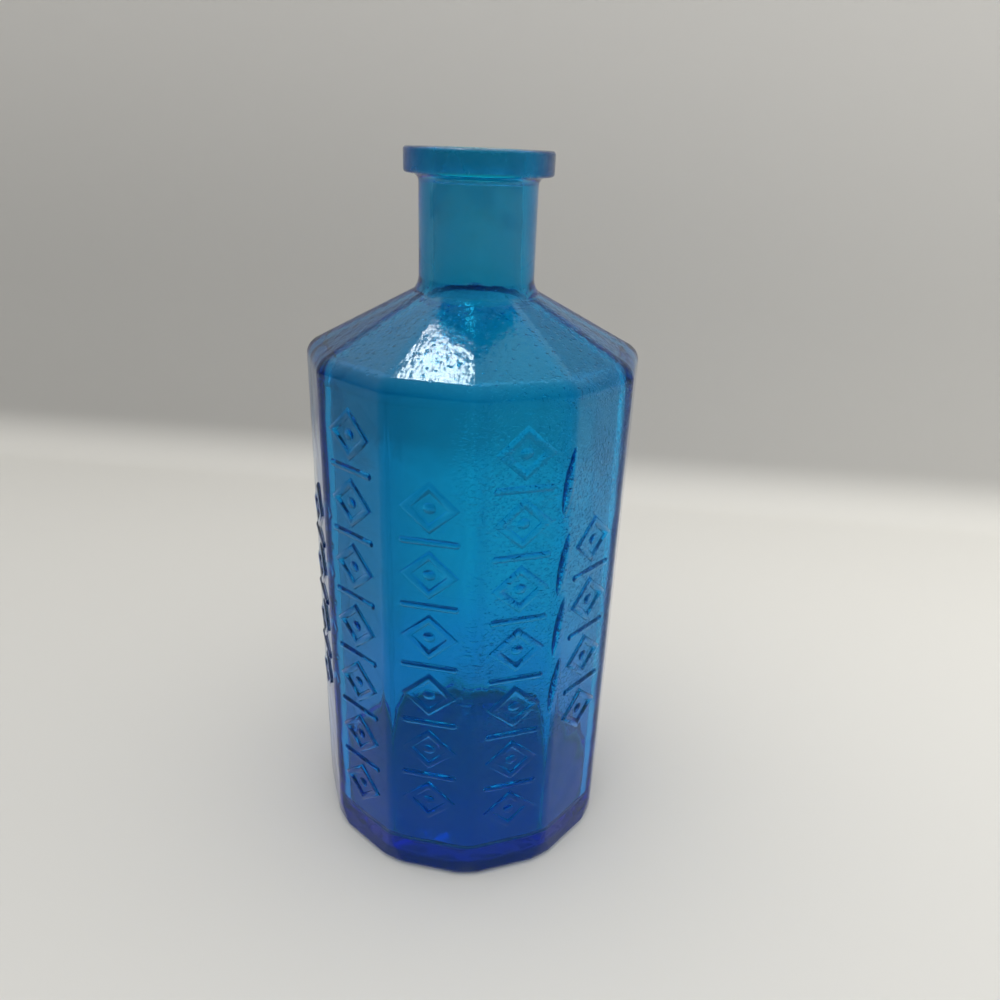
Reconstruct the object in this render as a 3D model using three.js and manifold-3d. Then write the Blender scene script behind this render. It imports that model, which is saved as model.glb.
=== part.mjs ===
// A bitters bottle of blue glass: a body of twelve flat panels, a faceted shoulder, a round neck and a
// flat collar for a lip. Millimetres, +Z up. The origin is the centre of the foot, on the surface that
// the bottle stands on, and the front panel faces -Y.
import * as THREE from "three";
import { mergeVertices } from "three/addons/utils/BufferGeometryUtils.js";
import Module from "manifold-3d";

const wasm = await Module();
wasm.setup();

// Outside of the body
const panelCount = 12;
const acrossFlats = 84.4;
const shoulderHeight = 142.5; // from the foot to the shoulder's edge
const shoulderRise = 15; // from the shoulder's edge to the root of the neck
const heelRadius = 3;
const shoulderRadius = 4;

// Neck and lip
const neckDiameter = 29.2;
const neckLength = 26.7; // from the root of the neck to the underside of the lip
const neckRootRadius = 5.5;
const neckRootDive = 0.5; // how far the fillet's foot runs in under the shoulder
const neckFlareRadius = 2; // the neck spreads under the lip
const boreDiameter = 22;
const lipDiameter = 36.4;
const lipHeight = 5.8;
const lipEdgeRadius = 1.2;

// Inside and foot
const wall = 3.6; // at the middle of a panel, where the glass is thinnest
const baseThickness = 7;
const innerHeelRadius = 9;
const innerShoulderRadius = 6;
const innerRidgeRadius = 13; // the inside follows the panels, with soft corners between them
const boreRootRadius = 9;
const standWidth = 5; // width of the ring that touches the table
const pushUpDepth = 2.5;

// Raised ornament: a chain of lozenges and cross bars up each of five panels, counted from the front one
const chains = [
  { panels: [0], links: 6, middle: 70.5 },
  { panels: [-1, 1], links: 7, middle: 75.5 },
  { panels: [-2, 2], links: 4, middle: 75 },
];
const reliefHeight = 0.7;
const reliefRoot = 0.5; // how far the relief runs into the wall behind it
const strokeWidth = 1.5;
const linkWidth = 15;
const linkLength = 13.5;
const linkGap = 4;
const bossWidth = 3.4;
const bossLength = 3;

// Roundness of the faceted solids
const neckSegments = 48;
const insideSegments = 48;
const arcSteps = 3; // pairs of chords in each arc

// Heights and radii that follow from these
const panelTurn = (2 * Math.PI) / panelCount;
const apothem = acrossFlats / 2;
const ridgeFactor = 1 / Math.cos(panelTurn / 2); // from a panel's middle out to the ridge beside it
const neckRadius = neckDiameter / 2;
const boreRadius = boreDiameter / 2;
const lipRadius = lipDiameter / 2;
const neckRoot = shoulderHeight + shoulderRise;
const neckTop = neckRoot + neckLength;
const lipTop = neckTop + lipHeight;
const shoulderSlope = shoulderRise / (apothem - neckRadius);
const shoulderAngle = Math.atan(shoulderSlope);

const blueGlass = new THREE.MeshStandardMaterial({
  color: 0x0b6ea5,
  roughness: 0.06,
  metalness: 0,
  transparent: true,
  opacity: 0.5,
});

// Height of the outer shoulder above the table, at a radius measured at the middle of a facet
function shoulderAt(radius) {
  return shoulderHeight + (apothem - radius) * shoulderSlope;
}

// Points of a profile of straight runs, with an arc at each corner [radius, height, rounding]
function roundedProfile(corners, closed = false) {
  const count = corners.length;
  const legFrom = (corner, i) => {
    const [x, y, rounding = 0] = corners[(i + count) % count];
    const leg = new THREE.Vector2(x, y).sub(corner);
    return { leg, room: rounding > 0 ? leg.length() / 2 : leg.length() };
  };
  const points = corners.flatMap(([x, y, rounding = 0], i) => {
    const corner = new THREE.Vector2(x, y);
    if (rounding === 0) {
      return [corner];
    }
    const { leg: back, room: roomBack } = legFrom(corner, i - 1);
    const { leg: ahead, room: roomAhead } = legFrom(corner, i + 1);
    const room = Math.min(roomBack, roomAhead);
    back.normalize();
    ahead.normalize();
    const halfAngle = Math.acos(back.dot(ahead)) / 2;
    const reach = Math.min(rounding / Math.tan(halfAngle), room);
    const radius = reach * Math.tan(halfAngle);
    const inward = back.clone().add(ahead).normalize();
    const centre = corner.clone().addScaledVector(inward, radius / Math.sin(halfAngle));
    const from = corner.clone().addScaledVector(back, reach).sub(centre).angle();
    const to = corner.clone().addScaledVector(ahead, reach).sub(centre).angle();
    const clockwise = back.cross(ahead) > 0;
    const arc = new THREE.Path().absarc(centre.x, centre.y, radius, from, to, clockwise);
    return arc.getPoints(arcSteps);
  });
  return closed ? [...points, points[0].clone()] : points;
}

// A profile turned about +Z, starting from -Y
function turned(points, segments, start = 0) {
  return new THREE.LatheGeometry(points, segments, start).rotateX(Math.PI / 2);
}

// The closed mesh of a geometry, as a solid that can be joined and cut
function solid(geometry) {
  geometry.deleteAttribute("normal");
  geometry.deleteAttribute("uv");
  const merged = mergeVertices(geometry, 1e-4);
  const index = merged.index.array;
  const triangles = [];
  for (let i = 0; i < index.length; i += 3) {
    const [a, b, c] = index.slice(i, i + 3);
    if (a !== b && b !== c && c !== a) {
      triangles.push(a, b, c);
    }
  }
  const mesh = new wasm.Mesh({
    numProp: 3,
    vertProperties: new Float32Array(merged.attributes.position.array),
    triVerts: new Uint32Array(triangles),
  });
  return new wasm.Manifold(mesh);
}

// A solid as a geometry again
function geometryOf(manifold) {
  const { vertProperties, triVerts } = manifold.getMesh();
  const geometry = new THREE.BufferGeometry();
  geometry.setAttribute("position", new THREE.BufferAttribute(vertProperties, 3));
  geometry.setIndex(new THREE.BufferAttribute(triVerts, 1));
  return geometry.toNonIndexed();
}

// The twelve-sided outside, closed off by a flat top that lies inside the neck
function panelledOutside() {
  const corners = [
    [0, 0],
    [apothem, 0, heelRadius],
    [apothem, shoulderHeight, shoulderRadius],
    [boreRadius, shoulderAt(boreRadius)],
    [0, shoulderAt(boreRadius)],
  ];
  const ridge = roundedProfile(corners).map((p) => new THREE.Vector2(p.x * ridgeFactor, p.y));
  return turned(ridge, panelCount, panelTurn / 2);
}

// The round neck, with a fillet down on to the shoulder and a flare up to the lip
function neckOutside() {
  const rootReach = neckRadius + neckRootRadius;
  const corners = [
    [0, shoulderHeight],
    [rootReach, shoulderHeight],
    [rootReach, shoulderAt(rootReach) - neckRootDive],
    [neckRadius, neckRoot, neckRootRadius],
    [neckRadius, neckTop, neckFlareRadius],
    [neckRadius + neckFlareRadius, neckTop],
    [0, neckTop],
  ];
  return turned(roundedProfile(corners), neckSegments);
}

// How far a twelve-sided outline with soft corners reaches, as a share of the distance to its flats
function panelReach(angle, flat, corner) {
  const offPanel = Math.abs(angle - panelTurn * Math.round(angle / panelTurn));
  const cornerCentre = (flat - corner) / Math.cos(panelTurn / 2);
  if (Math.tan(offPanel) * flat <= cornerCentre * Math.sin(panelTurn / 2)) {
    return 1 / Math.cos(offPanel);
  }
  const offRidge = panelTurn / 2 - offPanel;
  const across = cornerCentre * Math.sin(offRidge);
  return (cornerCentre * Math.cos(offRidge) + Math.sqrt(corner * corner - across * across)) / flat;
}

// A round shape drawn out towards twelve sides: fully where it is wide, and not at all at the bore
function drawnToPanels(geometry, flat) {
  const place = geometry.attributes.position;
  for (let i = 0; i < place.count; i++) {
    const [x, y] = [place.getX(i), place.getY(i)];
    const share = THREE.MathUtils.clamp((Math.hypot(x, y) - boreRadius) / (flat - boreRadius), 0, 1);
    const reach = 1 + share * (panelReach(Math.atan2(y, x), flat, innerRidgeRadius) - 1);
    place.setXY(i, x * reach, y * reach);
  }
  return geometry;
}

// The space inside: a body with twelve soft sides, a slope under the shoulder, and the bore out through the neck
function cavity() {
  const innerRadius = apothem - wall;
  const slopeDrop = wall / Math.cos(shoulderAngle);
  const floor = pushUpDepth + baseThickness;
  const corners = [
    [0, floor],
    [innerRadius, baseThickness, innerHeelRadius],
    [innerRadius, shoulderAt(innerRadius) - slopeDrop, innerShoulderRadius],
    [boreRadius, shoulderAt(boreRadius) - slopeDrop, boreRootRadius],
    [boreRadius, lipTop],
    [0, lipTop],
  ];
  return drawnToPanels(turned(roundedProfile(corners), insideSegments), innerRadius);
}

// The hollow under the foot, which leaves a ring to stand on
function pushUp() {
  const rim = apothem - heelRadius - standWidth;
  const sphereRadius = (rim * rim + pushUpDepth * pushUpDepth) / (2 * pushUpDepth);
  const rimAngle = Math.asin(rim / sphereRadius);
  const centre = pushUpDepth - sphereRadius;
  const dome = new THREE.Path().absarc(0, centre, sphereRadius, Math.PI / 2 - rimAngle, Math.PI / 2);
  const points = dome.getPoints(arcSteps);
  points[points.length - 1].x = 0;
  const under = [new THREE.Vector2(0, -pushUpDepth), new THREE.Vector2(rim, -pushUpDepth)];
  return turned([...under, ...points], insideSegments);
}

// A lozenge with its points up and down and to the sides
function lozenge(width, length, Outline = THREE.Shape) {
  const outline = new Outline();
  outline.moveTo(width / 2, 0);
  outline.lineTo(0, length / 2);
  outline.lineTo(-width / 2, 0);
  outline.lineTo(0, -length / 2);
  outline.closePath();
  return outline;
}

// One link of the chain: a lozenge ring with a boss in its middle
function linkShapes() {
  const halfWidth = linkWidth / 2;
  const halfLength = linkLength / 2;
  const edge = Math.hypot(halfWidth, halfLength);
  const ring = lozenge(linkWidth, linkLength);
  const inset = (strokeWidth * edge) / (halfWidth * halfLength); // as a share of the outer lozenge
  ring.holes.push(lozenge(linkWidth * (1 - inset), linkLength * (1 - inset), THREE.Path));
  return [ring, lozenge(bossWidth, bossLength)];
}

// The bar between two links
function barShape() {
  const bar = new THREE.Shape();
  bar.moveTo(-linkWidth / 2, -strokeWidth / 2);
  bar.lineTo(linkWidth / 2, -strokeWidth / 2);
  bar.lineTo(linkWidth / 2, strokeWidth / 2);
  bar.lineTo(-linkWidth / 2, strokeWidth / 2);
  bar.closePath();
  return bar;
}

// Relief that stands up from a panel, with its middle at a height above the table
function relief(shapes, panel, height) {
  const depth = reliefRoot + reliefHeight;
  const raised = new THREE.ExtrudeGeometry(shapes, { depth, bevelEnabled: false });
  raised.translate(0, 0, apothem - reliefRoot);
  raised.rotateX(Math.PI / 2);
  raised.rotateZ(panel * panelTurn);
  raised.translate(0, 0, height);
  return raised;
}

// The same chain on each of some panels
function ornament({ panels, links, middle }) {
  const pitch = linkLength + linkGap;
  const lowest = middle - ((links - 1) * pitch) / 2;
  return panels.flatMap((panel) => {
    const pieces = [];
    for (let link = 0; link < links; link++) {
      const height = lowest + link * pitch;
      linkShapes().forEach((shape) => pieces.push(relief(shape, panel, height)));
      if (link > 0) {
        pieces.push(relief(barShape(), panel, height - pitch / 2));
      }
    }
    return pieces;
  });
}

function bottleBody() {
  let glass = solid(panelledOutside()).add(solid(neckOutside()));
  chains.flatMap(ornament).forEach((raised) => {
    glass = glass.add(solid(raised));
  });
  glass = glass.subtract(solid(cavity())).subtract(solid(pushUp()));
  const body = new THREE.Mesh(geometryOf(glass), blueGlass.clone());
  body.name = "bottle_body";
  return body;
}

function lipRing() {
  const corners = [
    [boreRadius, 0],
    [lipRadius, 0, lipEdgeRadius],
    [lipRadius, lipHeight, lipEdgeRadius],
    [boreRadius, lipHeight, lipEdgeRadius],
  ];
  const lip = new THREE.Mesh(turned(roundedProfile(corners, true), neckSegments), blueGlass.clone());
  lip.name = "lip_ring";
  lip.position.z = neckTop;
  return lip;
}

const bottle = new THREE.Group();
bottle.add(bottleBody(), lipRing());

export default bottle;
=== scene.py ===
"""A bitters bottle of blue glass, standing empty and open on a pale table in front of a grey wall."""
import math

import bmesh
import bpy
from mathutils import Matrix, Vector


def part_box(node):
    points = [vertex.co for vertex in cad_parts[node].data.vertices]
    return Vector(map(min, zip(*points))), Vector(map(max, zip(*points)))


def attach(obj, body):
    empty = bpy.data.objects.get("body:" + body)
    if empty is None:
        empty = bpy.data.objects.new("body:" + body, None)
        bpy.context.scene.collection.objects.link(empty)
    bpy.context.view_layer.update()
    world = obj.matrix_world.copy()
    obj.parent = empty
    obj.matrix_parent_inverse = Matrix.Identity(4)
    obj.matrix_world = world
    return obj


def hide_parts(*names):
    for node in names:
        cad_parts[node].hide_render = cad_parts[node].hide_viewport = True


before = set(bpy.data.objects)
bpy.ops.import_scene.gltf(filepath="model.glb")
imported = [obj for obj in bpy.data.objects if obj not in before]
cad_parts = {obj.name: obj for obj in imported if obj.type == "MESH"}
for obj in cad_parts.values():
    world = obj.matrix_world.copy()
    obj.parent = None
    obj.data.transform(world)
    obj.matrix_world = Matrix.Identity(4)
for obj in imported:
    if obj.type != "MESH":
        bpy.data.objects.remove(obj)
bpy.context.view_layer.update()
body_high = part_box("bottle_body")[1]
lip_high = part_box("lip_ring")[1]

MM = 0.001

# Sizes that the frame gives
APOTHEM = body_high.x
NECK_TOP = body_high.z
LIP_RADIUS = lip_high.x
LIP_TOP = lip_high.z

# Outside of the body
PANELS = 12
SHOULDER_HEIGHT = 142.5 * MM
SHOULDER_RISE = 15 * MM
HEEL_ROUNDING = 2.4 * MM
FOOT_RADIUS = 42.7 * MM
FOOT_TAPER = 10 * MM
SHOULDER_ROUNDING = 2.6 * MM
RIDGE_ROUNDING = 1.3 * MM

# Neck and lip
NECK_RADIUS = 14.6 * MM
NECK_ROOT_ROUNDING = 5.5 * MM
ROOT_DIVE = 0.5 * MM
NECK_FLARE = 2 * MM
BORE_RADIUS = 11 * MM
LIP_ROUNDING = 0.8 * MM
LIP_SEAM = 0.03 * MM

# Inside and foot
WALL = 3.6 * MM
BASE_THICKNESS = 7 * MM
INNER_HEEL_ROUNDING = 3.5 * MM
INNER_SHOULDER_ROUNDING = 3.6 * MM
INNER_RIDGE_ROUNDING = 3.2 * MM
BORE_ROOT_ROUNDING = 9 * MM
BORE_ROOT_MARGIN = 1.5 * MM
STAND_WIDTH = 5.6 * MM
PUSH_UP_DEPTH = 2.5 * MM

# Raised chains of lozenges and bars, as (panels counted from the front one, links, height of the middle)
CHAINS = (
    ((0,), 6, 70.5 * MM),
    ((-1, 1), 7, 75.5 * MM),
    ((-2, 2), 4, 75 * MM),
)
LINK_WIDTH = 15 * MM
LINK_LENGTH = 13.5 * MM
LINK_GAP = 4 * MM
STROKE_WIDTH = 2.1 * MM
RELIEF_HEIGHT = 0.65 * MM
BOSS_WIDTH = 3.4 * MM
BOSS_LENGTH = 3 * MM
LOZENGE_SIDES = 4

# Runs of glass on the ridge to the right of the front, as heights of their middles
RUN_LEVELS = (120 * MM, 98 * MM, 80 * MM, 62 * MM)
RUN_PANEL = 1.5
RUN_WIDTH = 3.2 * MM
RUN_LENGTH = 18 * MM
RUN_DEPTH = 1.1 * MM
RUN_RADIUS = 43.1 * MM
RUN_TILT = math.radians(6)

# Roundness
ROUND_STEPS = 96
ARC_STEPS = 8
EDGE_STEPS = 6
RIDGE_STEPS = 4
STROKE_STEPS = 28
BAR_RINGS = 12
BOSS_STEPS = 20
BOSS_RINGS = 16
RUN_STEPS = 20
RUN_RINGS = 32
SMOOTH_WITHIN = math.radians(60)

# How close counts as the same
MERGE_WITHIN = 0.002 * MM
SAME_HEIGHT = 0.01 * MM
SAME_BEARING = 0.01
FACES_UP = 0.9

PANEL_TURN = 2 * math.pi / PANELS
CORNER_RADIUS = APOTHEM / math.cos(PANEL_TURN / 2)
NECK_ROOT = SHOULDER_HEIGHT + SHOULDER_RISE
SHOULDER_SLOPE = SHOULDER_RISE / (APOTHEM - NECK_RADIUS)
LINK_PITCH = LINK_LENGTH + LINK_GAP

# A raised stroke is the top of a round rod let into the panel
STROKE_RADIUS = (STROKE_WIDTH ** 2 / 4 + RELIEF_HEIGHT ** 2) / (2 * RELIEF_HEIGHT)
STROKE_PLACE = (0, STROKE_RADIUS - RELIEF_HEIGHT - APOTHEM, 0)

# Glass, with a faint dull bloom on the neck and the lip
GLASS_IOR = 1.5
REFLECTION_TINT = (0.1, 0.82, 1, 1)
DEPTH_DENSITY = 900
BODY_DEPTH_TINT = (0, 0.911, 0.988, 1)
LIP_DEPTH_TINT = (0, 0.93, 0.978, 1)
BODY_POLISH = (0.015, 0.07)
LIP_POLISH = (0.2, 0.3)
SHOULDER_DULLNESS = 0.07
BLOOM_ROUGHNESS = 0.5
NECK_BLOOM = 0.5
LIP_BLOOM = 0.2

# Tints of the surface; the left one is a painted shade on the left of the body, the right one painted
# light on its right
SHADED_LEFT_TINT = (0.43, 0.54, 0.67, 1)
LIT_RIGHT_TINT = (0.75, 0.79, 0.88, 1)
FOOT_TINT = (0.6, 0.64, 1, 1)
HEEL_TINT = (0.6, 0.78, 0.53, 1)
NECK_TINT = (0.95, 0.74, 0.8, 1)

# Where the surface changes, each from where a change starts to where it is full
SHOULDER_FROM_BELOW = (SHOULDER_HEIGHT - 2 * MM, SHOULDER_HEIGHT + 2 * MM)
SHOULDER_FROM_ABOVE = (NECK_ROOT + 3 * MM, NECK_ROOT - 2 * MM)
PANELS_FROM_ABOVE = (SHOULDER_HEIGHT + 2 * MM, SHOULDER_HEIGHT - 2 * MM)
SPECKS_FROM_BELOW = (35 * MM, 60 * MM)
SPECKS_FROM_LEFT = (2 * MM, 14 * MM)
# Where the painted shade on the left of the body turns into painted light on its right
SHADE_TO_LIGHT_ACROSS = (-30 * MM, 22 * MM)
FOOT_FROM_ABOVE = (60 * MM, 15 * MM)
HEEL_FROM_ABOVE = (8 * MM, 5 * MM)
HEEL_FROM_INSIDE = (APOTHEM - 6 * MM, APOTHEM - 3 * MM)
NECK_FROM_BELOW = (NECK_ROOT - 4 * MM, NECK_ROOT + 4 * MM)
BLOOM_FROM_BELOW = (NECK_ROOT - 2 * MM, NECK_ROOT + 14 * MM)

# Patterns of the surface, as (fineness, detail) and for some a stretch along each axis
SWELL_PATTERN = (70, 1)
POLISH_PATTERN = (120, 4)
DRIFT_PATTERN = (35, 3)
PATCH_PATTERN = (55, 2)
DENT_PATTERN = (700, 1, (1, 0.6, 0.6))
DIP_PATTERN = (220, 1)
SPECK_PATTERN = (1000, 1, (1, 1, 1.4))
PIT_FINENESS = 560

# Between which levels a pattern turns from nothing to full
POLISH_LEVELS = (0.3, 0.7)
PATCH_LEVELS = (0.32, 0.52)
SPECK_LEVELS = (0.56, 0.68)
PIT_LEVELS = (0.3, 0.1)

# Heights of the unevenness that the mould left, in mm, and how far the tint wavers
SWELL_HEIGHT = 0.5
DENT_HEIGHT = 0.085
DIP_HEIGHT = 0.05
PIT_DEPTH = 0.07
SPECK_HEIGHT = 0.075
SHOULDER_CALM = 0.85
DRIFT_WAVER = 20 * MM

# Where the photograph was taken from
LENS = 29.1
NEAREST_SEEN = 5 * MM
CAMERA_TURN = math.radians(13.05)
CAMERA_DISTANCE = 209.9 * MM
CAMERA_HEIGHT = 191.8 * MM
CAMERA_YAW = 0.039
CAMERA_PITCH = 0.418
CAMERA_ROLL = 0.040

# Table and wall
WALL_DISTANCE = 250 * MM
WALL_TURN = math.radians(5.2)
WALL_HEIGHT = 420 * MM
COVE_RADIUS = 25 * MM
COVE_STEPS = 12
TABLE_REACH = 2.5
TABLE_CLEARANCE = 0.05 * MM

# Paint of the table and the wall, with painted light and shade in it, and where it changes
PAINT_ROUGHNESS = 0.9
PAINT_GLOSS = 0.1
# The wall's paint is a painted shade low down and painted light high up
SHADED_LOW_WALL_PAINT = (0.56, 0.555, 0.54, 1)
LIT_HIGH_WALL_PAINT = (0.75, 0.74, 0.72, 1)
# The table's paint is a painted shade near the front and painted light towards the wall
SHADED_NEAR_TABLE_PAINT = (0.685, 0.68, 0.655, 1)
LIT_FAR_TABLE_PAINT = (0.83, 0.82, 0.78, 1)
LEFT_SHADE = (0.87, 0.87, 0.87, 1)
RIGHT_SHADE = (1.13, 1.13, 1.13, 1)
WALL_LIGHT_UPWARDS = (100 * MM, 330 * MM)
TABLE_LIGHT_BACKWARDS = (-100 * MM, WALL_DISTANCE)
TABLE_TO_WALL = (0, 1.15 * COVE_RADIUS)
SHADE_ACROSS = (-400 * MM, 400 * MM)

# The room's light, which grows upwards
ROOM_COLOUR = (1, 0.99, 0.97, 1)
ROOM_UP = (0.05, 0.1, 0.95)
ROOM_DARK_BELOW = -0.2
ROOM_LEVEL = 1.67
LIGHT_BOUNCES = 24

# The lamp whose corner glints on the front of the shoulder
LAMP_SIDE = 0.2
LAMP_PLACE = (-0.3015, 0.2584, 1.2307)
LAMP_TURN = (math.radians(-12), math.radians(-43.5), math.radians(-134.5))
LAMP_POWER = 5.6
LAMP_COLOUR = (1, 0.45, 0.4)


def shoulder_at(radius):
    """Height of the outer shoulder at a radius measured at the middle of a facet."""
    return SHOULDER_HEIGHT + (APOTHEM - radius) * SHOULDER_SLOPE


def rounded(corners):
    """Points of a profile through (radius, height, rounding) corners, with an arc at each rounded one."""
    points = []
    neighbours = zip(corners[:1] + corners[:-1], corners, corners[1:] + corners[-1:])
    for before, (radius, height, rounding), after in neighbours:
        corner = Vector((radius, height))
        if not rounding:
            points.append(corner)
            continue
        back = (Vector(before[:2]) - corner).normalized()
        ahead = (Vector(after[:2]) - corner).normalized()
        half = back.angle(ahead) / 2
        reach = rounding / math.tan(half)
        centre = corner + (back + ahead).normalized() * rounding / math.sin(half)
        start = corner + back * reach - centre
        end = corner + ahead * reach - centre
        sweep = start.angle(end)
        for step in range(ARC_STEPS + 1):
            turn = sweep * step / ARC_STEPS
            spoke = start * math.sin(sweep - turn) + end * math.sin(turn)
            points.append(centre + spoke / math.sin(sweep))
    return points


def deselect_all():
    bpy.ops.object.select_all(action="DESELECT")


def choose(*pieces):
    """Selects these pieces alone, with the first one active."""
    deselect_all()
    for piece in pieces:
        piece.select_set(True)
    bpy.context.view_layer.objects.active = pieces[0]


def pick(kind, wanted):
    """Selects those verts, edges or faces of the edited mesh for which wanted is true."""
    mesh = bpy.context.edit_object.data
    bpy.ops.mesh.select_mode(type=kind)
    bpy.ops.mesh.select_all(action="DESELECT")
    shape = bmesh.from_edit_mesh(mesh)
    parts = {"VERT": shape.verts, "EDGE": shape.edges, "FACE": shape.faces}[kind]
    for part in parts:
        part.select_set(wanted(part))
    shape.select_flush_mode()
    bmesh.update_edit_mesh(mesh)


def finished(name):
    """Ends the editing of the active object, with its place in its mesh."""
    bpy.ops.object.mode_set(mode="OBJECT")
    bpy.ops.object.transform_apply(location=True, rotation=True, scale=True)
    piece = bpy.context.object
    piece.name = name
    piece.data.name = name
    return piece


def turned(name, points):
    """A closed solid: a profile of (radius, height) points spun about the bottle's axis."""
    deselect_all()
    first = points[0]
    bpy.ops.mesh.primitive_plane_add(size=MM, location=(first.x, 0, first.y))
    bpy.ops.object.transform_apply(location=True)
    bpy.ops.object.mode_set(mode="EDIT")
    bpy.ops.mesh.select_mode(type="VERT")
    bpy.ops.mesh.select_all(action="SELECT")
    bpy.ops.mesh.merge(type="CENTER")
    for last, point in zip(points, points[1:]):
        step = (point.x - last.x, 0, point.y - last.y)
        bpy.ops.mesh.extrude_vertices_move(TRANSFORM_OT_translate={"value": step})
    bpy.ops.mesh.select_all(action="SELECT")
    bpy.ops.mesh.spin(steps=ROUND_STEPS, angle=2 * math.pi, center=(0, 0, 0), axis=(0, 0, 1))
    bpy.ops.mesh.select_all(action="SELECT")
    bpy.ops.mesh.remove_doubles(threshold=MERGE_WITHIN)
    bpy.ops.mesh.normals_make_consistent(inside=False)
    return finished(name)


def boolean(piece, tool, operation):
    """Joins a tool to a piece, cuts it out or keeps what they share, and uses the tool up."""
    change = piece.modifiers.new(operation.lower(), "BOOLEAN")
    change.operation = operation
    change.solver = "EXACT"
    change.object = tool
    bpy.context.view_layer.objects.active = piece
    bpy.ops.object.modifier_apply(modifier=change.name)
    bpy.data.objects.remove(tool)


def copy_of(piece):
    choose(piece)
    bpy.ops.object.duplicate()
    return bpy.context.object


def join(pieces, name):
    choose(*pieces)
    bpy.ops.object.join()
    return finished(name)


def clean(piece):
    """Takes out the slivers that cutting and joining leave between almost equal points."""
    choose(piece)
    bpy.ops.object.mode_set(mode="EDIT")
    bpy.ops.mesh.select_mode(type="VERT")
    bpy.ops.mesh.select_all(action="SELECT")
    bpy.ops.mesh.remove_doubles(threshold=MERGE_WITHIN)
    bpy.ops.mesh.dissolve_degenerate(threshold=MERGE_WITHIN)
    bpy.ops.object.mode_set(mode="OBJECT")


def smooth(piece):
    """Smooth shading across soft edges, with the large flat faces kept flat."""
    choose(piece)
    bpy.ops.object.shade_smooth_by_angle(angle=SMOOTH_WITHIN)
    weigh = piece.modifiers.new("weighted", "WEIGHTED_NORMAL")
    weigh.keep_sharp = True
    bpy.ops.object.modifier_apply(modifier=weigh.name)


def panelled(name, apothem, foot, edge, top, roundings):
    """A twelve-sided body from foot to shoulder edge with a faceted shoulder up to a (radius, height) top.

    The roundings of the heel, the shoulder's edge and the ridges soften it as the mould does.
    """
    deselect_all()
    bpy.ops.mesh.primitive_cylinder_add(
        vertices=PANELS, radius=apothem / math.cos(PANEL_TURN / 2), depth=edge - foot,
        location=(0, 0, (foot + edge) / 2), rotation=(0, 0, PANEL_TURN / 2),
    )
    bpy.ops.object.transform_apply(location=True, rotation=True)
    bpy.ops.object.mode_set(mode="EDIT")
    pick("FACE", lambda face: face.normal.z > FACES_UP)
    bpy.ops.mesh.extrude_region_move(TRANSFORM_OT_translate={"value": (0, 0, top[1] - edge)})
    narrowing = top[0] / apothem
    bpy.ops.transform.resize(value=(narrowing, narrowing, 1), center_override=(0, 0, top[1]))

    def level_at(height):
        return lambda line: all(abs(v.co.z - height) < SAME_HEIGHT for v in line.verts)

    def on_a_ridge(line):
        low, high = (v.co for v in line.verts)
        level = abs(low.z - high.z) < SAME_HEIGHT
        return not level and low.xy.angle(high.xy) < SAME_BEARING

    heel, shoulder, ridge = roundings
    pick("EDGE", level_at(foot))
    bpy.ops.mesh.bevel(offset=heel, segments=EDGE_STEPS, affect="EDGES")
    pick("EDGE", level_at(edge))
    bpy.ops.mesh.bevel(offset=shoulder, segments=EDGE_STEPS, affect="EDGES")
    pick("EDGE", on_a_ridge)
    bpy.ops.mesh.bevel(offset=ridge, segments=RIDGE_STEPS, affect="EDGES")
    return finished(name)


def round_foot():
    """A bowl that rounds the ridges off at the foot and leaves the rest of the body as it is."""
    return turned("round_foot", rounded([
        (0, 0, 0),
        (FOOT_RADIUS, 0, HEEL_ROUNDING),
        (CORNER_RADIUS, FOOT_TAPER, 0),
        (CORNER_RADIUS + FOOT_TAPER, NECK_TOP, 0),
        (0, NECK_TOP, 0),
    ]))


def throat(name, radius, rounding, slope_at, ends):
    """A round column on a sloping shoulder, with a fillet at its root, up through the points in ends."""
    reach = radius + rounding
    low = slope_at(reach) - 2 * rounding
    return turned(name, rounded([
        (0, low, 0),
        (reach, low, 0),
        (reach, slope_at(reach) - ROOT_DIVE, 0),
        (radius, slope_at(radius), rounding),
        *ends,
    ]))


def blank():
    """The solid body with its neck, before it is hollowed."""
    top = (BORE_RADIUS, shoulder_at(BORE_RADIUS))
    body = panelled(
        "bottle_body_glass", APOTHEM, 0, SHOULDER_HEIGHT, top,
        (HEEL_ROUNDING, SHOULDER_ROUNDING, RIDGE_ROUNDING),
    )
    boolean(body, round_foot(), "INTERSECT")
    ends = [
        (NECK_RADIUS, NECK_TOP, NECK_FLARE),
        (NECK_RADIUS + NECK_FLARE, NECK_TOP, 0),
        (0, NECK_TOP, 0),
    ]
    boolean(body, throat("neck", NECK_RADIUS, NECK_ROOT_ROUNDING, shoulder_at, ends), "UNION")
    return body


def cavity():
    """The space inside, which follows the panels with soft corners and leaves through the bore."""
    apothem = APOTHEM - WALL
    drop = WALL / math.cos(math.atan(SHOULDER_SLOPE))

    def ceiling_at(radius):
        return shoulder_at(radius) - drop

    narrow = BORE_RADIUS + BORE_ROOT_MARGIN
    space = panelled(
        "cavity", apothem, BASE_THICKNESS, ceiling_at(apothem), (narrow, ceiling_at(narrow)),
        (INNER_HEEL_ROUNDING, INNER_SHOULDER_ROUNDING, INNER_RIDGE_ROUNDING),
    )
    ends = [(BORE_RADIUS, LIP_TOP, 0), (0, LIP_TOP, 0)]
    boolean(space, throat("bore", BORE_RADIUS, BORE_ROOT_ROUNDING, ceiling_at, ends), "UNION")
    return space


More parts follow.
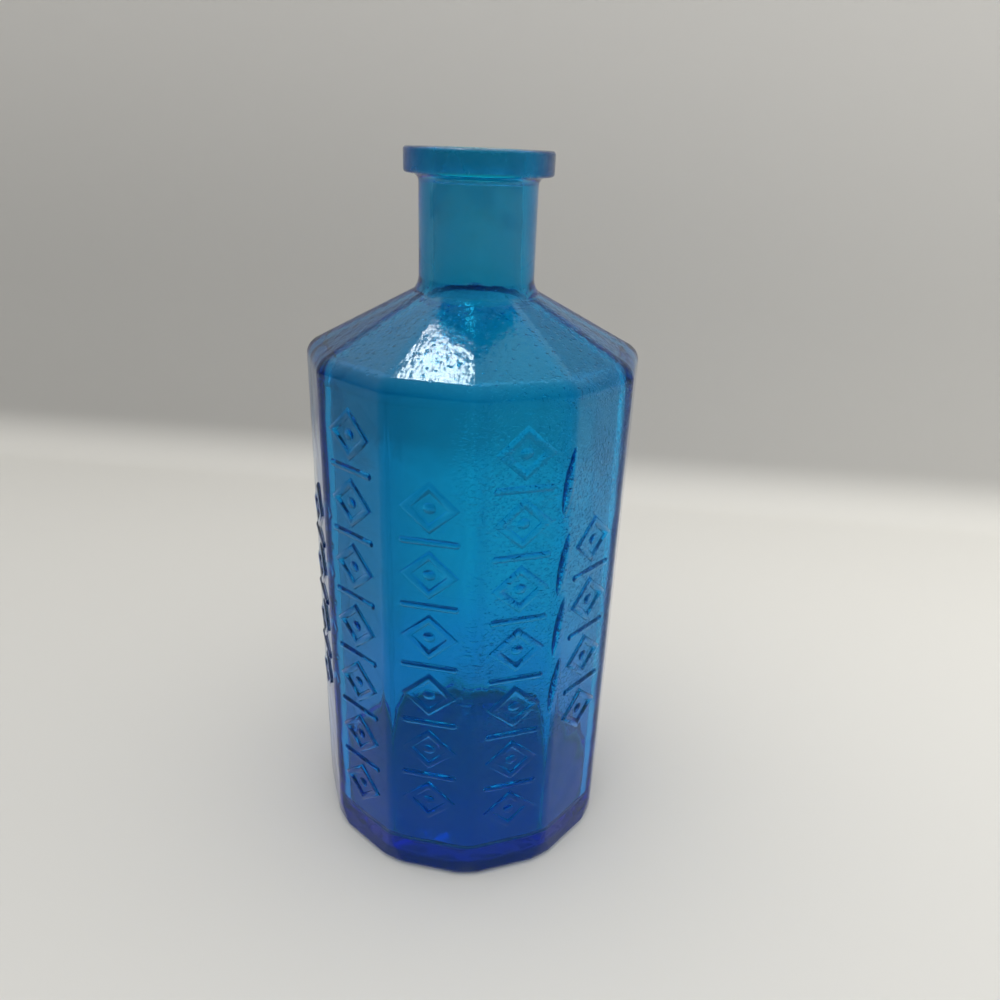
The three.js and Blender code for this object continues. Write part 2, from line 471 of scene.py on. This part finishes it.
def push_up():
    """The shallow dome that is cut into the foot from below."""
    rim = APOTHEM - HEEL_ROUNDING - STAND_WIDTH
    points = [Vector((0, -PUSH_UP_DEPTH)), Vector((rim, -PUSH_UP_DEPTH))]
    steps = 2 * ARC_STEPS
    for step in range(steps + 1):
        share = 1 - step / steps
        points.append(Vector((rim * share, PUSH_UP_DEPTH * (1 - share ** 2))))
    return turned("push_up", points)


def lozenge_link():
    """A lozenge ring with soft rounded sides and a low boss in its middle, on the front panel."""
    deselect_all()
    mitre = math.cos(math.pi / LOZENGE_SIDES)
    bpy.ops.mesh.primitive_torus_add(
        major_segments=LOZENGE_SIDES, minor_segments=STROKE_STEPS,
        location=STROKE_PLACE, rotation=(math.pi / 2, 0, 0),
        major_radius=(LINK_LENGTH - STROKE_WIDTH / mitre) / 2, minor_radius=STROKE_RADIUS / mitre,
    )
    bpy.ops.object.transform_apply(rotation=True, location=False)
    bpy.context.object.scale = (LINK_WIDTH / LINK_LENGTH, mitre, 1)
    ring = finished("link_ring")
    swell = STROKE_RADIUS / (STROKE_WIDTH / 2)
    bpy.ops.mesh.primitive_uv_sphere_add(
        segments=BOSS_STEPS, ring_count=BOSS_RINGS, radius=1, location=STROKE_PLACE,
        scale=(swell * BOSS_WIDTH / 2, STROKE_RADIUS, swell * BOSS_LENGTH / 2),
    )
    boss = finished("link_boss")
    return join([ring, boss], "link")


def cross_bar():
    """A straight bar with round ends, on the front panel."""
    deselect_all()
    bpy.ops.mesh.primitive_uv_sphere_add(
        segments=STROKE_STEPS, ring_count=BAR_RINGS, radius=STROKE_RADIUS,
        location=STROKE_PLACE, rotation=(0, math.pi / 2, 0),
    )
    bpy.ops.object.transform_apply(rotation=True, location=False)
    bpy.ops.object.mode_set(mode="EDIT")
    half_run = (LINK_WIDTH - STROKE_WIDTH) / 2
    for side in (-1, 1):
        pick("VERT", lambda v: v.co.x * side > SAME_HEIGHT)
        bpy.ops.transform.translate(value=(side * half_run, 0, 0))
    return finished("bar")


def glass_runs():
    """Long low swellings down one ridge, where the glass ran in the mould."""
    runs = []
    for level in RUN_LEVELS:
        deselect_all()
        bpy.ops.mesh.primitive_uv_sphere_add(
            segments=RUN_STEPS, ring_count=RUN_RINGS, radius=1, location=(0, -RUN_RADIUS, level),
            rotation=(0, RUN_TILT, 0), scale=(RUN_WIDTH / 2, RUN_DEPTH, RUN_LENGTH / 2),
        )
        run = finished("run")
        run.rotation_euler.z = RUN_PANEL * PANEL_TURN
        runs.append(finished("run"))
    return runs


def relief():
    """The chains on all the ornamented panels, and the runs."""
    link = lozenge_link()
    bar = cross_bar()
    raised = []
    for panels, count, middle in CHAINS:
        lowest = middle - (count - 1) * LINK_PITCH / 2
        spots = [(link, lowest + place * LINK_PITCH) for place in range(count)]
        spots += [(bar, lowest + (place + 0.5) * LINK_PITCH) for place in range(count - 1)]
        for panel in panels:
            for model, level in spots:
                piece = copy_of(model)
                piece.location.z = level
                piece.rotation_euler.z = panel * PANEL_TURN
                raised.append(finished("raised"))
    for model in (link, bar):
        bpy.data.objects.remove(model)
    return join(raised + glass_runs(), "relief")


def bottle_body():
    body = blank()
    boolean(body, relief(), "UNION")
    boolean(body, cavity(), "DIFFERENCE")
    boolean(body, push_up(), "DIFFERENCE")
    clean(body)
    smooth(body)
    return body


def lip_ring():
    foot = NECK_TOP + LIP_SEAM
    lip = turned("lip_ring_glass", rounded([
        (BORE_RADIUS, foot, 0),
        (LIP_RADIUS, foot, LIP_ROUNDING),
        (LIP_RADIUS, LIP_TOP, LIP_ROUNDING),
        (BORE_RADIUS, LIP_TOP, LIP_ROUNDING),
        (BORE_RADIUS, foot, 0),
    ]))
    smooth(lip)
    return lip


class Finish:
    """One procedural material, with short ways to add its nodes and join them."""

    def __init__(self, name):
        self.material = bpy.data.materials.new(name)
        self.material.use_nodes = True
        self.nodes = self.material.node_tree.nodes
        self.links = self.material.node_tree.links
        self.surface = self.nodes["Principled BSDF"].inputs
        self.place = self.nodes.new("ShaderNodeTexCoord").outputs["Object"]
        axes = self.nodes.new("ShaderNodeSeparateXYZ")
        self.links.new(self.place, axes.inputs["Vector"])
        self.x, self.y, self.z = axes.outputs

    def feed(self, value, socket):
        """Joins another node's output to a socket, or sets the socket to a number or colour."""
        if isinstance(value, bpy.types.NodeSocket):
            self.links.new(value, socket)
        else:
            socket.default_value = value

    def squeezed(self, stretch):
        squeeze = self.nodes.new("ShaderNodeMapping")
        squeeze.inputs["Scale"].default_value = stretch
        self.links.new(self.place, squeeze.inputs["Vector"])
        return squeeze.outputs["Vector"]

    def out_from_axis(self):
        """How far a point of the surface is from the bottle's axis."""
        distance = self.nodes.new("ShaderNodeVectorMath")
        distance.operation = "LENGTH"
        self.links.new(self.squeezed((1, 1, 0)), distance.inputs[0])
        return distance.outputs["Value"]

    def noise(self, fineness, detail, stretch=(1, 1, 1)):
        cloud = self.nodes.new("ShaderNodeTexNoise")
        cloud.inputs["Scale"].default_value = fineness
        cloud.inputs["Detail"].default_value = detail
        self.links.new(self.squeezed(stretch), cloud.inputs["Vector"])
        return cloud.outputs["Fac"]

    def cells(self, fineness):
        """Distance from the middles of small cells spread over the surface."""
        spread = self.nodes.new("ShaderNodeTexVoronoi")
        spread.inputs["Scale"].default_value = fineness
        self.links.new(self.place, spread.inputs["Vector"])
        return spread.outputs["Distance"]

    def ramp(self, value, low, high, least=0, most=1):
        """Goes softly from least to most as the value goes from low to high."""
        change = self.nodes.new("ShaderNodeMapRange")
        change.interpolation_type = "SMOOTHSTEP"
        ends = {"From Min": low, "From Max": high, "To Min": least, "To Max": most}
        for socket, number in ends.items():
            change.inputs[socket].default_value = number
        self.links.new(value, change.inputs["Value"])
        return change.outputs["Result"]

    def maths(self, operation, first, second):
        step = self.nodes.new("ShaderNodeMath")
        step.operation = operation
        self.feed(first, step.inputs[0])
        self.feed(second, step.inputs[1])
        return step.outputs["Value"]

    def plus(self, first, second):
        return self.maths("ADD", first, second)

    def minus(self, first, second):
        return self.maths("SUBTRACT", first, second)

    def times(self, first, second):
        return self.maths("MULTIPLY", first, second)

    def mixed(self, first, second, share, way="MIX"):
        """Goes from the first colour to the second as the share goes from 0 to 1."""
        mix = self.nodes.new("ShaderNodeMix")
        mix.data_type = "RGBA"
        mix.blend_type = way
        for socket, value in (("Factor", share), ("A", first), ("B", second)):
            self.feed(value, mix.inputs[socket])
        return mix.outputs["Result"]

    def bump(self, height):
        """Raises the surface by a height in mm."""
        raised = self.nodes.new("ShaderNodeBump")
        raised.inputs["Distance"].default_value = MM
        self.links.new(height, raised.inputs["Height"])
        self.links.new(raised.outputs["Normal"], self.surface["Normal"])


def blue_glass(name, depth_tint):
    """Clear azure glass whose colour comes from its depth."""
    glass = Finish(name)
    glass.surface["Transmission Weight"].default_value = 1
    glass.surface["IOR"].default_value = GLASS_IOR
    glass.surface["Specular Tint"].default_value = REFLECTION_TINT
    glass.surface["Coat Roughness"].default_value = BLOOM_ROUGHNESS
    depth_colour = glass.nodes.new("ShaderNodeVolumeAbsorption")
    depth_colour.inputs["Color"].default_value = depth_tint
    depth_colour.inputs["Density"].default_value = DEPTH_DENSITY
    glass.links.new(depth_colour.outputs["Volume"], glass.nodes["Material Output"].inputs["Volume"])
    return glass


def slow_swell(glass):
    return glass.times(glass.noise(*SWELL_PATTERN), SWELL_HEIGHT)


def uneven_polish(glass, polish):
    return glass.ramp(glass.noise(*POLISH_PATTERN), *POLISH_LEVELS, *polish)


def body_blue():
    """The body's glass: hammered on the shoulder, speckled on the right, with painted shade on its left
    that drifts into painted light on its right.
    """
    glass = blue_glass("body_blue", BODY_DEPTH_TINT)
    on_shoulder = glass.times(
        glass.ramp(glass.z, *SHOULDER_FROM_BELOW),
        glass.ramp(glass.z, *SHOULDER_FROM_ABOVE),
    )
    on_panels = glass.times(
        glass.ramp(glass.z, *PANELS_FROM_ABOVE),
        glass.ramp(glass.z, *SPECKS_FROM_BELOW),
    )
    to_the_right = glass.ramp(glass.x, *SPECKS_FROM_LEFT)
    in_patches = glass.ramp(glass.noise(*PATCH_PATTERN), *PATCH_LEVELS)
    puckered = glass.times(glass.times(to_the_right, in_patches), on_panels)
    on_heel = glass.times(
        glass.ramp(glass.z, *HEEL_FROM_ABOVE),
        glass.ramp(glass.out_from_axis(), *HEEL_FROM_INSIDE),
    )

    calm = glass.minus(1, glass.times(on_shoulder, SHOULDER_CALM))
    swell = glass.times(slow_swell(glass), calm)
    dents = glass.times(glass.noise(*DENT_PATTERN), DENT_HEIGHT)
    dips = glass.times(glass.noise(*DIP_PATTERN), DIP_HEIGHT)
    pits = glass.times(glass.ramp(glass.cells(PIT_FINENESS), *PIT_LEVELS), PIT_DEPTH)
    hammered = glass.times(glass.plus(dents, glass.minus(dips, pits)), on_shoulder)
    specks = glass.times(glass.ramp(glass.noise(*SPECK_PATTERN), *SPECK_LEVELS), SPECK_HEIGHT)
    puckers = glass.times(specks, puckered)
    glass.bump(glass.plus(swell, glass.plus(hammered, puckers)))

    dullness = glass.times(on_shoulder, SHOULDER_DULLNESS)
    glass.feed(glass.plus(uneven_polish(glass, BODY_POLISH), dullness), glass.surface["Roughness"])

    # Painted shade on the left of the body and painted light on its right, across a border that wavers at
    # random
    drift = glass.plus(glass.x, glass.times(glass.noise(*DRIFT_PATTERN), DRIFT_WAVER))
    tint = glass.mixed(SHADED_LEFT_TINT, LIT_RIGHT_TINT, glass.ramp(drift, *SHADE_TO_LIGHT_ACROSS))
    tint = glass.mixed(tint, FOOT_TINT, glass.ramp(glass.z, *FOOT_FROM_ABOVE))
    tint = glass.mixed(tint, HEEL_TINT, on_heel)
    tint = glass.mixed(tint, NECK_TINT, glass.ramp(glass.z, *NECK_FROM_BELOW))
    glass.feed(tint, glass.surface["Base Color"])
    bloom = glass.ramp(glass.z, *BLOOM_FROM_BELOW, 0, NECK_BLOOM)
    glass.feed(bloom, glass.surface["Coat Weight"])
    return glass.material


def lip_blue():
    """The lip's glass: duller than the body's, with one tint and one bloom all over."""
    glass = blue_glass("lip_blue", LIP_DEPTH_TINT)
    glass.surface["Base Color"].default_value = NECK_TINT
    glass.surface["Coat Weight"].default_value = LIP_BLOOM
    glass.bump(slow_swell(glass))
    glass.feed(uneven_polish(glass, LIP_POLISH), glass.surface["Roughness"])
    return glass.material


def stage_paint():
    """Pale table paint that turns into the grey of the wall where the table curves up, with painted light
    that grows up the wall, towards the back of the table and to the right.
    """
    paint = Finish("table_and_wall_paint")
    paint.surface["Roughness"].default_value = PAINT_ROUGHNESS
    paint.surface["Specular IOR Level"].default_value = PAINT_GLOSS
    # Painted light that grows up the wall
    wall = paint.mixed(SHADED_LOW_WALL_PAINT, LIT_HIGH_WALL_PAINT, paint.ramp(paint.z, *WALL_LIGHT_UPWARDS))
    # Painted light that grows towards the back of the table
    table = paint.mixed(SHADED_NEAR_TABLE_PAINT, LIT_FAR_TABLE_PAINT, paint.ramp(paint.y, *TABLE_LIGHT_BACKWARDS))
    stage = paint.mixed(table, wall, paint.ramp(paint.z, *TABLE_TO_WALL))
    across = paint.mixed(LEFT_SHADE, RIGHT_SHADE, paint.ramp(paint.x, *SHADE_ACROSS))
    paint.feed(paint.mixed(stage, across, 1, "MULTIPLY"), paint.surface["Base Color"])
    return paint.material


def table_and_wall():
    """The table top, curving up into a low wall behind the bottle."""
    deselect_all()
    bpy.ops.mesh.primitive_plane_add(size=2 * TABLE_REACH)
    bpy.ops.object.mode_set(mode="EDIT")
    cove_start = WALL_DISTANCE - COVE_RADIUS
    pick("VERT", lambda v: v.co.y > 0)
    bpy.ops.transform.translate(value=(0, cove_start - TABLE_REACH, 0))
    pick("EDGE", lambda edge: all(v.co.y > 0 for v in edge.verts))
    quarter = math.pi / 2
    for step in range(COVE_STEPS):
        low = quarter * step / COVE_STEPS
        high = quarter * (step + 1) / COVE_STEPS
        rise = COVE_RADIUS * (math.cos(low) - math.cos(high))
        run = COVE_RADIUS * (math.sin(high) - math.sin(low))
        bpy.ops.mesh.extrude_region_move(TRANSFORM_OT_translate={"value": (0, run, rise)})
    straight = (0, 0, WALL_HEIGHT - COVE_RADIUS)
    bpy.ops.mesh.extrude_region_move(TRANSFORM_OT_translate={"value": straight})
    bpy.ops.mesh.select_all(action="SELECT")
    bpy.ops.mesh.normals_make_consistent(inside=False)
    bpy.ops.object.mode_set(mode="OBJECT")
    stage = bpy.context.object
    stage.rotation_euler.z = WALL_TURN
    stage.location.z = -TABLE_CLEARANCE
    stage = finished("table_and_wall")
    bpy.ops.object.shade_smooth()
    stage.data.materials.append(stage_paint())


def camera():
    deselect_all()
    bpy.ops.object.camera_add()
    eye = bpy.context.object
    eye.name = "photo_camera"
    eye.data.lens = LENS
    eye.data.clip_start = NEAREST_SEEN
    stand = (
        Matrix.Rotation(CAMERA_TURN, 4, "Z")
        @ Matrix.Translation((0, -CAMERA_DISTANCE, CAMERA_HEIGHT))
    )
    aim = (
        Matrix.Rotation(-CAMERA_YAW, 4, "Z")
        @ Matrix.Rotation(math.pi / 2 - CAMERA_PITCH, 4, "X")
        @ Matrix.Rotation(CAMERA_ROLL, 4, "Z")
    )
    eye.matrix_world = stand @ aim
    bpy.context.scene.camera = eye


def room_light():
    """An even room that is brighter the further up it is."""
    world = bpy.data.worlds.new("room")
    world.use_nodes = True
    nodes = world.node_tree.nodes
    links = world.node_tree.links
    bpy.context.scene.world = world
    upwards = nodes.new("ShaderNodeVectorMath")
    upwards.operation = "DOT_PRODUCT"
    upwards.inputs[1].default_value = ROOM_UP
    links.new(nodes.new("ShaderNodeTexCoord").outputs["Generated"], upwards.inputs[0])
    level = nodes.new("ShaderNodeMapRange")
    level.inputs["From Min"].default_value = ROOM_DARK_BELOW
    level.inputs["To Max"].default_value = ROOM_LEVEL
    links.new(upwards.outputs["Value"], level.inputs["Value"])
    links.new(level.outputs["Result"], nodes["Background"].inputs["Strength"])
    nodes["Background"].inputs["Color"].default_value = ROOM_COLOUR


def shoulder_lamp():
    """The lamp that glints on the shoulder and leaves the table's light as it is."""
    deselect_all()
    bpy.ops.object.light_add(type="AREA", location=LAMP_PLACE, rotation=LAMP_TURN)
    lamp = bpy.context.object
    lamp.data.shape = "SQUARE"
    lamp.data.size = LAMP_SIDE
    lamp.data.energy = LAMP_POWER
    lamp.data.color = LAMP_COLOUR
    lamp.visible_diffuse = False


def main():
    scene = bpy.context.scene
    scene.view_settings.view_transform = "Standard"
    scene.cycles.max_bounces = LIGHT_BOUNCES
    scene.cycles.glossy_bounces = LIGHT_BOUNCES
    scene.cycles.transmission_bounces = LIGHT_BOUNCES
    camera()
    room_light()
    shoulder_lamp()
    table_and_wall()
    pieces = {
        "bottle_body": (bottle_body(), body_blue()),
        "lip_ring": (lip_ring(), lip_blue()),
    }
    for node, (piece, glass) in pieces.items():
        piece.data.materials.clear()
        piece.data.materials.append(glass)
        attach(piece, "root")
        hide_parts(node)


main()
